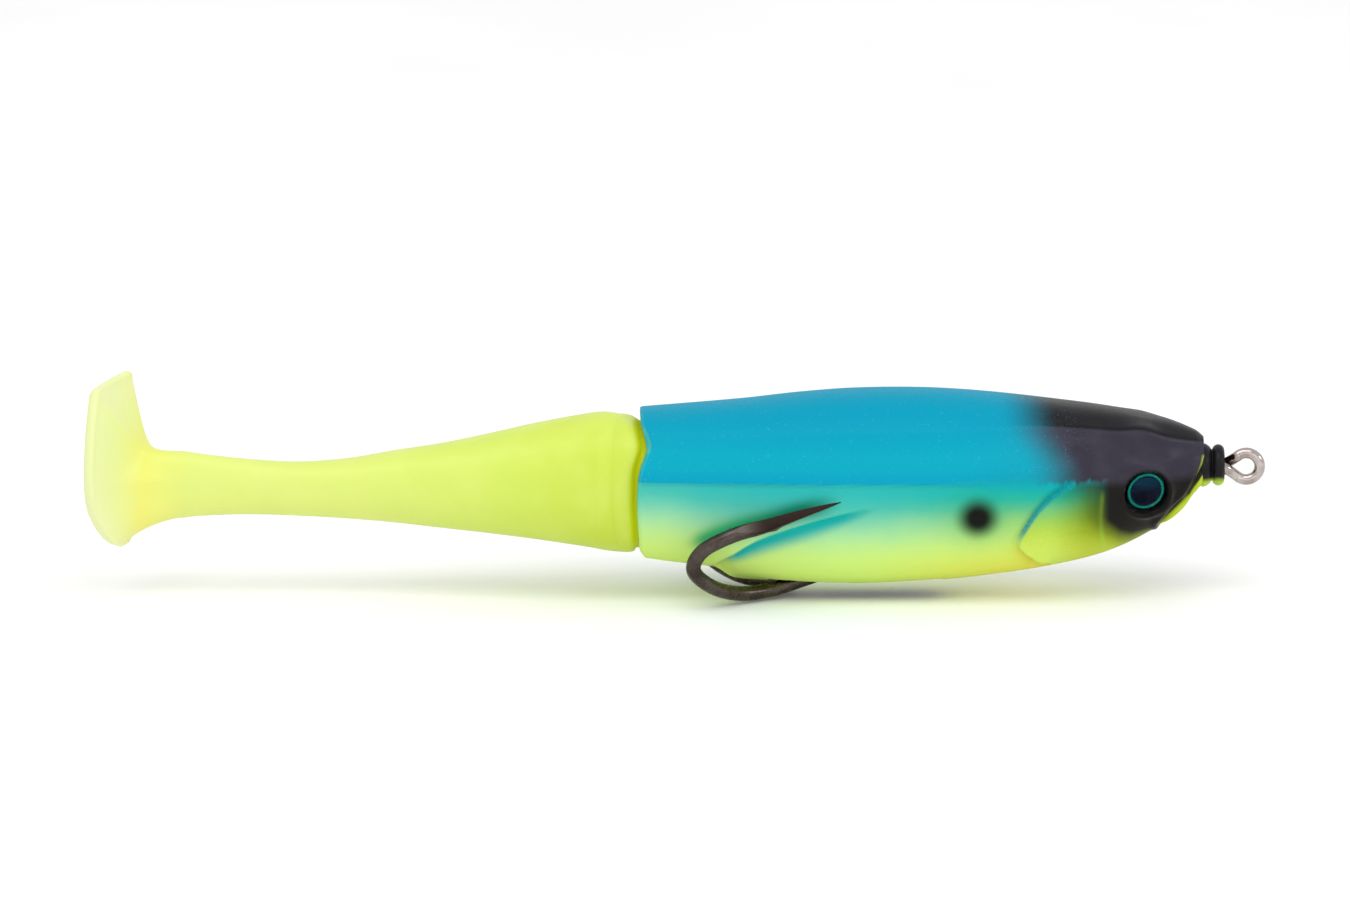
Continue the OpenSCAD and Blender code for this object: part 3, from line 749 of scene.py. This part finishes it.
def build_body():
    """The hollow skin as one sheet: nose, outside, turned-in rim and inside, less the belly slot."""
    x = np.concatenate([np.linspace(NOSE_X - 0.02, NOSE_X - FINE_HEAD, HEAD_RINGS, endpoint=False),
                        np.linspace(NOSE_X - FINE_HEAD, RIM_X + 0.25, BODY_RINGS)])
    base = body_sections(x)
    normal = grid_normals(base)
    relief, fields = body_relief(base[..., 0], base[..., 1], base[..., 2])
    # relief dies out at the nose face and at the rim, which have edges of their own
    relief *= step(NOSE_X - base[..., 0], 0.0, 1.0) * step(base[..., 0] - RIM_X, 0.0, 0.5)
    skin = base + relief[..., None] * normal
    # close the nose round the plug, and turn the rim in round the skin's thickness
    y, z = base[0, :, 1], base[0, :, 2]
    nose = [np.stack([np.full(SIDES, NOSE_X + dx), s * y, NOSE_MID_Z + s * (z - NOSE_MID_Z)], 1)
            for dx, s in ((-0.35, 0.45), (-0.1, 0.66), (0.0, 0.84), (0.0, 0.95))]
    lip_profile = ((0.06, 0.07), (0.0, 0.28), (0.0, SKIN_T - 0.3), (0.1, SKIN_T - 0.05), (0.5, SKIN_T))
    lip = [np.stack([np.full(SIDES, RIM_X + dx), ring[:, 1], ring[:, 2]], 1)
           for dx, inset in lip_profile
           for ring in body_sections(np.array([RIM_X + 0.05]), inset)]
    inner_x = np.linspace(RIM_X + 1, NOSE_X - INNER_START, INNER_RINGS)
    inner = body_sections(inner_x, SKIN_T)
    rings = np.concatenate([np.array(nose), skin, np.array(lip), inner])
    rings[..., 0] += lip_shift(rings[..., 2]) * (1 - step(rings[..., 0] - RIM_X, 0.3, 5)) ** 2
    rows = len(rings)
    full = {}
    for key, values in fields.items():
        head = np.repeat(values[:1], len(nose), 0)
        tail = np.repeat(values[-1:], len(lip) + len(inner), 0)
        full[key] = np.concatenate([head, values, tail])
    # the lip's first two rings still have the outside's paint
    inside = np.zeros((rows, SIDES))
    inside[len(nose) + len(skin) + 2:] = 1.0
    full["inside"] = inside
    # the belly slot goes right through
    mid = (rings + np.roll(rings, -1, 1)) / 2
    in_slot = ((mid[..., 0] < SLOT_FRONT) & (mid[..., 0] > SLOT_REAR)
               & (np.abs(mid[..., 1]) < SLOT_HALF) & (mid[..., 2] < SLOT_TOP))
    obj = make_mesh("body_skin", rings.reshape(-1, 3), grid_faces(rows, SIDES, ~in_slot), full, SKIN)
    recalculate(obj)
    return obj


body = build_body()
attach(body, "body")
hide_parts("body_shell")

# ---------------- nose plug and line tie

plug_low, plug_high = box("nose_plug")
PLUG_Z = (plug_low[2] + plug_high[2]) / 2
PLUG_FRONT = plug_high[0]
PLUG_R = (plug_high[2] - plug_low[2]) / 2


def along_x(local):
    """Puts points built about Z round the lure's long axis, at the plug's height."""
    return np.stack([local[:, 2], local[:, 0], local[:, 1] + PLUG_Z], 1)


def bulb_profile():
    """A collar that tapers forwards, a groove, and the bulb."""
    rows = [(NOSE_X - 1.2, 1.4), (NOSE_X - 0.4, 2.2), (NOSE_X, 2.32), (NOSE_X + 0.3, 2.2),
            (NOSE_X + 0.62, 1.98), (NOSE_X + 0.82, 1.7)]
    half = (PLUG_FRONT - NOSE_X - 0.9) / 2
    for a in np.linspace(-80, 80, 24):
        c = math.cos(math.radians(a))
        rows.append((PLUG_FRONT - half + half * math.sin(math.radians(a)), PLUG_R - 0.72 + 0.7 * c**0.9))
    rows += [(PLUG_FRONT - 0.02, 1.3), (PLUG_FRONT - 0.1, 0.9), (PLUG_FRONT - 0.2, 0.4)]
    return rows


plug = revolve("nose_bulb", bulb_profile(), along_x, PLUG)
recalculate(plug)
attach(plug, "body")
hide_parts("nose_plug")

tie_high = box("line_tie")[1]
TIE_R = 0.58
EYE_RING = tie_high[0] - TIE_R
LEG_Y = 0.72
# Place and radius of the rear eye
REAR_X, REAR_R = -16.5, 1.6


def ring_at(x, r, degrees):
    """A point of an upright ring in the lure's middle plane."""
    a = math.radians(degrees)
    return (x + r * math.cos(a), 0, r * math.sin(a))


def leg(s):
    """The wire's leg from the front eye to the rear one; s is its side."""
    return [(-1.75, s * 0.48, s * 0.42), (-2.5, s * LEG_Y, 0), (-4, s * LEG_Y, 0), (-9, s * LEG_Y, 0),
            (REAR_X + 2.9, s * LEG_Y, 0), (REAR_X + 1.8, s * 0.5, s * 0.8)]


def tie_route():
    """The wire's middle line: crimp, rear eye, one leg, front eye, other leg."""
    front = [ring_at(0, EYE_RING, a) for a in np.linspace(-134, 134, 19)]
    rear = [ring_at(REAR_X, REAR_R, a) for a in np.linspace(60, 300, 13)]
    start = [(REAR_X + 4.2, LEG_Y, 0)] + leg(1)[4:]
    end = leg(1)[:4] + [(REAR_X + 4.4, LEG_Y, 0)]
    return start + rear + list(reversed(leg(-1))) + front + end


tie_points = through(tie_route(), 5)
tie = wire("line_tie_wire", tie_points, np.full(len(tie_points), TIE_R), TIE_METAL)
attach(tie, "body")
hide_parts("line_tie")

# ---------------- eyes

EYE_YAW, EYE_TILT = 17, 13
LENS_LIFT = 0.04
PRINT_BACK, PRINT_FRONT = -0.2, -0.08
EYE_AT = np.array([-10.72, -4.88, -1.62])


def at_eye(left):
    """A function that puts points of an eye, built about Z, into its socket."""
    yaw, lean = math.radians(EYE_YAW), math.radians(90 + EYE_TILT)

    def place(p):
        x, y, z = p.T
        y, z = y * math.cos(lean) - z * math.sin(lean), y * math.sin(lean) + z * math.cos(lean)
        x, y = x * math.cos(yaw) - y * math.sin(yaw), x * math.sin(yaw) + y * math.cos(yaw)
        out = np.stack([x, y, z], 1) + EYE_AT
        return out * np.array([1, -1, 1]) if left else out

    return place


def dome_profile():
    """A shallow part of a ball, with a flat base just clear of the print."""
    rise = 0.85
    ball = (EYE_R**2 + rise**2) / (2 * rise)
    edge = math.asin(EYE_R / ball)
    base = [(LENS_LIFT / 2, r) for r in (0.01, 1.0, EYE_R - 0.1, EYE_R - 0.04, EYE_R - 0.02)]
    front = [(LENS_LIFT + rise - ball + ball * math.cos(a), max(ball * math.sin(a), 0.01))
             for a in np.linspace(edge, 0, 18)]
    return base + front


print_profile = [(PRINT_BACK, 0.02), (PRINT_BACK, EYE_R)] + [
    (PRINT_FRONT, max(r, 0.01)) for r in np.linspace(EYE_R, 0, 26)]
for side_name in ("right", "left"):
    place = at_eye(side_name == "left")
    foil = revolve(f"eye_print_{side_name}", print_profile, place, FOIL)
    dome = revolve(f"eye_lens_{side_name}", dome_profile(), place, DOME)
    for piece, node, slot in ((foil, "eye_foil_", "foil"), (dome, "eye_dome_", "dome")):
        recalculate(piece)
        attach(piece, "body")
        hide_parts(node + side_name)

# ---------------- hook

HOOK_R = 0.78
SHANK = math.radians(22)
HOOK_EYE_R = 2
SHANK_LEN = 28.4
# Middle line of the left arm, from the shank's end to the point
ARM = [(-43, 0.85, -10.6), (-46.8, 1.2, -11.9), (-50.2, 2.5, -12.7), (-53.4, 4.6, -12.6), (-56.3, 7.1, -11.3),
       (-58.2, 8.6, -9.2), (-57.2, 9.1, -7), (-54, 9.3, -5.3), (-50.6, 9.4, -4.3), (-46.8, 9.4, -3),
       (-42.8, 9.3, -1.8)]


def hook_route():
    """The wire's middle line from point to point, and where a point is."""
    forward = np.array([math.cos(SHANK), 0, math.sin(SHANK)])
    link = np.array([LINK_X, 0, 0])
    half_gap = HOOK_R + 0.05
    turn = math.degrees(math.acos(half_gap / HOOK_EYE_R)) - 12
    arm = through([(x, -y, z) for x, y, z in ARM], 9)
    shank = [link - np.array([0, half_gap, 0]) - d * forward for d in (SHANK_LEN - 4, 20, 16, 12, 8, 5.2)]
    centre = link - HOOK_EYE_R * forward
    eye = [centre + HOOK_EYE_R * (math.cos(a) * forward - math.sin(a) * np.array([0, 1, 0]))
           for a in np.radians(np.arange(180 - turn / 2, -0.1, -8))]
    half = np.concatenate([arm[::-1], shank, eye])
    return np.concatenate([half, half[::-1] * np.array([1, -1, 1])]), arm[-1]


hook_points, hook_tip = hook_route()
POINT_LEN = 9.5
POINT_R = 0.05
BARB_AT, BARB_H, BARB_W = 7.4, 0.22, 0.45
# The ground flat's length, the stretch over which it ends, and which way it faces on the left arm
FLAT_LEN, FLAT_END = 12, 4
FLAT_Y, FLAT_Z = 0.86, 0.51
on_one_side = np.stack([hook_points[:, 0], -np.abs(hook_points[:, 1]), hook_points[:, 2]], 1)
tip_distance = np.linalg.norm(on_one_side - hook_tip, axis=1)
taper = (np.clip(tip_distance, 0, POINT_LEN) / POINT_LEN) ** 0.66
hook_radii = np.maximum(POINT_R, HOOK_R * taper)


def barbed(rings, route):
    """Grinds a flat on the outer upper side of each point, and raises a small barb on its lower edge."""
    for i, d in enumerate(tip_distance):
        if d < FLAT_LEN:
            out = np.array([0, math.copysign(FLAT_Y, route[i][1]), FLAT_Z])
            height = 0.35 + 0.6 * step(d, FLAT_LEN - FLAT_END, FLAT_LEN)
            depth = (rings[i] - route[i]) @ out - height * hook_radii[i]
            rings[i] -= np.clip(depth, 0, None)[:, None] * out
        below = np.clip((route[i][2] - rings[i, :, 2]) / hook_radii[i], 0, 1) ** 3
        rings[i, :, 2] -= BARB_H * bell(d - BARB_AT, BARB_W) * below
    return rings


def ground_flat(points):
    """1 where the ground flat is, by each vertex's place round the wire."""
    count = len(hook_points)
    points = points.reshape(count, -1, 3)
    outward = np.stack([np.zeros(count), FLAT_Y * np.sign(hook_points[:, 1]), np.full(count, FLAT_Z)], 1)
    depth = ((points - hook_points[:, None]) * outward[:, None]).sum(2) / hook_radii[:, None]
    return step(depth, 0.22, 0.34) * (1 - step(tip_distance, FLAT_LEN - FLAT_END, FLAT_LEN))[:, None]


hook = wire("hook_wire", hook_points, hook_radii, HOOK_METAL, 32, barbed)
hook_verts = np.array([v.co for v in hook.data.vertices]) / MM
flat_layer = hook.data.attributes.new("ground", "FLOAT", "POINT")
flat_layer.data.foreach_set("value", ground_flat(hook_verts).astype(np.float32).ravel())
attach(hook, "hook")
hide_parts("double_hook")

# ---------------- soft tail

TAIL_SIDES = 160
TOP_POWER, BOTTOM_POWER, SIDE_POWER = 2.3, 2.2, 2.25
# How far the tail swings each way, which its front edge is bevelled for
SWING = math.radians(15)
# The two meshes meet at the seam, and the paddle starts where the stem ends
SEAM_X = -103
SEAM_SHARE = (RIM_X - SEAM_X) / TAIL_LEN
STEM_END = 0.815
PADDLE_TURN = math.radians(17.5)
PADDLE_T = 1.1
PADDLE_BOTTOM = paddle_low[2]
PADDLE_H = paddle_high[2] - paddle_low[2]
PADDLE_HALF_W = 6.9
PADDLE_X = TAIL_END_X + 2.75
# Depth of the stem's root on the paddle's face
ROOT_T = 4.1
FACE_SCALE = 0.95
# The paddle is dished across, and curls forwards below more than above
DISH, CURL_BELOW, CURL_ABOVE, CURL_REACH = 0.4, 1.9, 0.15, 6.5


def soft_ring(x, half, top, bottom, square=0.0):
    """A ring of the tail about its middle height; square makes it squarer, most of all above."""
    a = np.linspace(0, 2 * np.pi, TAIL_SIDES, endpoint=False)
    above = np.sin(a) > 0
    z = TAIL_MID_Z + np.where(above, (top - TAIL_MID_Z) * power(np.sin(a), TOP_POWER + square),
                              (TAIL_MID_Z - bottom) * power(np.sin(a), BOTTOM_POWER + 0.5 * square))
    y = half * power(np.cos(a), SIDE_POWER + square * above)
    return np.stack([np.full(TAIL_SIDES, x), y, z], 1)


def tail_rings(shares):
    """Rings of the soft tail at shares of its length behind the rim."""
    top, bottom, half = (curve(TAIL, shares, c) for c in (1, 2, 3))
    return np.array([soft_ring(RIM_X - s * TAIL_LEN, w, t, b)
                     for s, t, b, w in zip(shares, top, bottom, half)])


def paddle_outline():
    """The paddle's edge in its own plane, by the same angles as the stem's rings, and those angles."""
    a = np.linspace(0, 2 * np.pi, TAIL_SIDES, endpoint=False)
    shares = np.linspace(0, 1, 400)
    right = np.stack([PADDLE_HALF_W * curve(PADDLE, shares), PADDLE_BOTTOM + shares * PADDLE_H], 1)
    across = np.linspace(1, -1, 200)[:, None] * np.array([1, 0]) + np.array([0, 1])
    top_edge, bottom_edge = right[-1] * across, right[0] * across[::-1]
    closed = np.concatenate([right, top_edge, (right * np.array([-1, 1]))[::-1], bottom_edge])
    angle = np.arctan2(closed[:, 1] - TAIL_MID_Z, closed[:, 0]) % (2 * np.pi)
    radius = np.hypot(closed[:, 0], closed[:, 1] - TAIL_MID_Z)
    order = np.argsort(angle)
    r = np.interp(a, angle[order], radius[order], period=2 * np.pi)
    return np.stack([r * np.cos(a), TAIL_MID_Z + r * np.sin(a)], 1), a


def paddle_rings():
    """The stem flares into the paddle's front face, turns round its edge and closes over its back."""
    outline, a = paddle_outline()
    stem = tail_rings(np.array([STEM_END]))[0]

    def in_plane(scale, depth):
        """A ring in the paddle's plane: scale shrinks the outline, depth is in front of the middle plane."""
        y = outline[:, 0] * scale
        z = TAIL_MID_Z + (outline[:, 1] - TAIL_MID_Z) * scale
        rise = (z - TAIL_MID_Z) / CURL_REACH
        curl = np.where(rise < 0, CURL_BELOW, CURL_ABOVE) * rise**2
        d = depth + (DISH * (y / PADDLE_HALF_W) ** 2 + curl)
        return np.stack([PADDLE_X + d * math.cos(PADDLE_TURN) + y * math.sin(PADDLE_TURN),
                         y * math.cos(PADDLE_TURN) - d * math.sin(PADDLE_TURN), z], 1)

    # each line runs along the stem to a corner, then out to the edge; the corner is sharp on top
    corner = stem.copy()
    corner[:, 0] = PADDLE_X + ROOT_T + stem[:, 1] * math.tan(PADDLE_TURN)
    pull = 1.0 + 2.2 * step(np.sin(a), 0.1, 0.9) - 0.5 * step(-np.sin(a), 0.1, 0.9)
    face = in_plane(FACE_SCALE, PADDLE_T / 2)
    rings, thin = [], []
    for s in np.linspace(0, 1, 48)[1:]:
        near, middle, far = (1 - s) ** 2, 2 * s * (1 - s) * pull, s**2
        weight = near + middle + far
        rings.append((near * stem + middle[:, None] * corner + far * face) / weight[:, None])
        thin.append(np.full(TAIL_SIDES, 0.8 * s**6))
    for t in np.linspace(0, math.pi, 13)[1:]:
        rings.append(in_plane(FACE_SCALE + (1 - FACE_SCALE) * math.sin(t), PADDLE_T / 2 * math.cos(t)))
        thin.append(np.full(TAIL_SIDES, math.sin(t) * 0.6 + 0.4))
    for scale in np.linspace(FACE_SCALE, 0.02, 26)[1:]:
        rings.append(in_plane(scale, -PADDLE_T / 2 - 0.25 * (1 - scale)))
        thin.append(np.full(TAIL_SIDES, 0.25 * scale))
    return np.array(rings), np.array(thin)


def build_tail():
    """The soft tail in two meshes that meet on the stem."""
    front_shares = np.linspace(TAIL[0][0], SEAM_SHARE, 150)
    rear_shares = np.linspace(SEAM_SHARE, STEM_END, 50)
    front = tail_rings(front_shares)
    # the front edge is rolled in, and bevelled in plan so that the tail can swing inside the rim
    mouth = front[0]
    lead = []
    for inset, dx in ((2.6, -0.5), (1.8, -0.12), (0.9, 0.0), (0.35, -0.08)):
        k = 1 - inset / 7
        ring = mouth.copy()
        ring[:, 1] *= k
        ring[:, 2] = TAIL_MID_Z + (mouth[:, 2] - TAIL_MID_Z) * k
        ring[:, 0] += dx
        lead.append(ring)
    front = np.concatenate([np.array(lead), front])
    bevel = math.tan(SWING) * np.abs(front[..., 1]) * (1 - step(RIM_X - front[..., 0], 1.0, 6.0))
    front[..., 0] -= bevel
    shoulder = np.clip(1 - step(RIM_X - front[..., 0] - bevel, 0.9, 1.7), 0, 1)
    root = make_mesh("soft_tail_front", front.reshape(-1, 3), grid_faces(len(front), TAIL_SIDES),
                     {"thin": np.zeros(front.shape[:2]), "shoulder": shoulder}, TAIL_PLASTIC)
    flare, thin = paddle_rings()
    rear = tail_rings(rear_shares)
    rings = np.concatenate([rear, flare])
    thin = np.concatenate([np.zeros((len(rear), TAIL_SIDES)), thin])
    faces = grid_faces(len(rings), TAIL_SIDES) + [
        tuple((len(rings) - 1) * TAIL_SIDES + j for j in range(TAIL_SIDES))]
    paddle = make_mesh("soft_tail_paddle", rings.reshape(-1, 3), faces,
                       {"thin": thin, "shoulder": np.zeros(thin.shape)}, TAIL_PLASTIC)
    recalculate(root)
    recalculate(paddle)
    return root, paddle


def build_collar():
    """The tail's soft front edge, which tucks inside the rim."""
    behind = np.linspace(COLLAR[0][0], COLLAR[-1][0], 60)
    half, top, bottom = (curve(COLLAR, behind, c) for c in (1, 2, 3))
    rings = []
    for q, w, t, b in zip(behind, half, top, bottom):
        ring = soft_ring(RIM_X - q, w, t, b, 0.9 * (1 - step(q, 0.7, 2.6)))
        # it follows the rim's shape, less and less towards the rear
        ring[:, 0] += 0.8 * lip_shift(ring[:, 2]) * (1 - step(q, 0.8, 2.6))
        rings.append(ring)
    rings = np.array(rings)
    shoulder = np.repeat(1 - step(behind, 0.6, 1.15), TAIL_SIDES)
    obj = make_mesh("soft_tail_collar", rings.reshape(-1, 3), grid_faces(len(rings), TAIL_SIDES),
                    {"thin": np.zeros(len(shoulder)), "shoulder": shoulder}, TAIL_PLASTIC)
    recalculate(obj)
    return obj


tail_front, tail_rear = build_tail()
tail_collar = build_collar()


def bend(piece):
    """Bakes piece's placement into its mesh; nothing bends it here."""
    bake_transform(piece)


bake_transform(tail_collar)
bend(tail_front)
bend(tail_rear)
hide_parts("tail_root", "tail_stem")
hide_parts("tail_paddle")

# ---------------- carried-over CAD nodes


def refinish(node, material):
    """Gives a CAD node a better material, and the rest positions that the material reads."""
    obj = frame["nodes"][node]
    mesh = obj.data
    rest = mesh.attributes.get("rest") or mesh.attributes.new("rest", "FLOAT_VECTOR", "POINT")
    places = np.array([v.co for v in mesh.vertices], np.float32) / MM
    rest.data.foreach_set("vector", places.ravel())
    mesh.materials.clear()
    mesh.materials.append(material)


for node, material in (("crimp_sleeve", BRASS), ("belly_weight", LEAD), ("rear_bulkhead", INSERT),
                       ("hinge_pin", PIN_METAL), ("tail_coupler", INSERT)):
    refinish(node, material)

# ---------------- studio

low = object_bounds()[0]
FLOOR_GAP = 0.0002
FLOOR_HALF = 4000
# What the lights face
CENTRE = (-0.0603, 0, 0)
WORLD_STRENGTH = 0.93


def floor_paint():
    """Plain pale floor."""
    p = Paint("studio_floor", Roughness=0.9, Specular_IOR_Level=0.1)
    p.colour(p.mix(p.span(p.noise(0.02), 0.3, 0.7), (0.9, 0.9, 0.9, 1), (0.93, 0.93, 0.93, 1)))
    return p.material


corners = [(FLOOR_HALF * x, FLOOR_HALF * y, 0) for x, y in ((-1, -1), (1, -1), (1, 1), (-1, 1))]
floor = make_mesh("floor", corners, [(0, 1, 2, 3)], None, floor_paint(), False)
floor.location.z = low[2] - FLOOR_GAP


def soft_light(name, place, size, watts):
    """A rectangular light that faces the lure."""
    lamp = bpy.data.lights.new(name, "AREA")
    lamp.shape = "RECTANGLE"
    lamp.size, lamp.size_y = size
    lamp.energy = watts
    obj = add_object(name, lamp)
    obj.location = place
    obj.rotation_euler = (Vector(CENTRE) - Vector(place)).to_track_quat("-Z", "Y").to_euler()


soft_light("key", (-0.1, -0.35, 0.62), (0.7, 0.45), 1.9)
soft_light("front_fill", (0.1, -0.8, 0.16), (0.7, 0.4), 0.7)
soft_light("nose_fill", (0.55, -0.2, 0.25), (0.14, 0.11), 0.5)

world = bpy.data.worlds.new("studio")
bpy.context.scene.world = world
world.use_nodes = True
background = world.node_tree.nodes["Background"]
background.inputs["Color"].default_value = (1, 1, 1, 1)
background.inputs["Strength"].default_value = WORLD_STRENGTH

# A long lens, as far away as makes the picture FRAME_WIDTH wide at the lure
AZIMUTH, ELEVATION = math.radians(-0.5), math.radians(12)
FRAME_WIDTH = 0.1419
LENS, SENSOR = 400, 36
distance = LENS / SENSOR * FRAME_WIDTH
target = Vector((-0.06007, 0, 0.00185))
away = Vector((math.sin(AZIMUTH) * math.cos(ELEVATION), -math.cos(AZIMUTH) * math.cos(ELEVATION),
               math.sin(ELEVATION)))
camera_data = bpy.data.cameras.new("camera")
camera_data.lens = LENS
camera_data.sensor_width = SENSOR
camera_data.clip_start = 0.01
camera = add_object("camera", camera_data)
camera.location = target + away * distance
camera.rotation_euler = (-away).to_track_quat("-Z", "Y").to_euler()
bpy.context.scene.camera = camera
bpy.context.scene.view_settings.view_transform = "Standard"
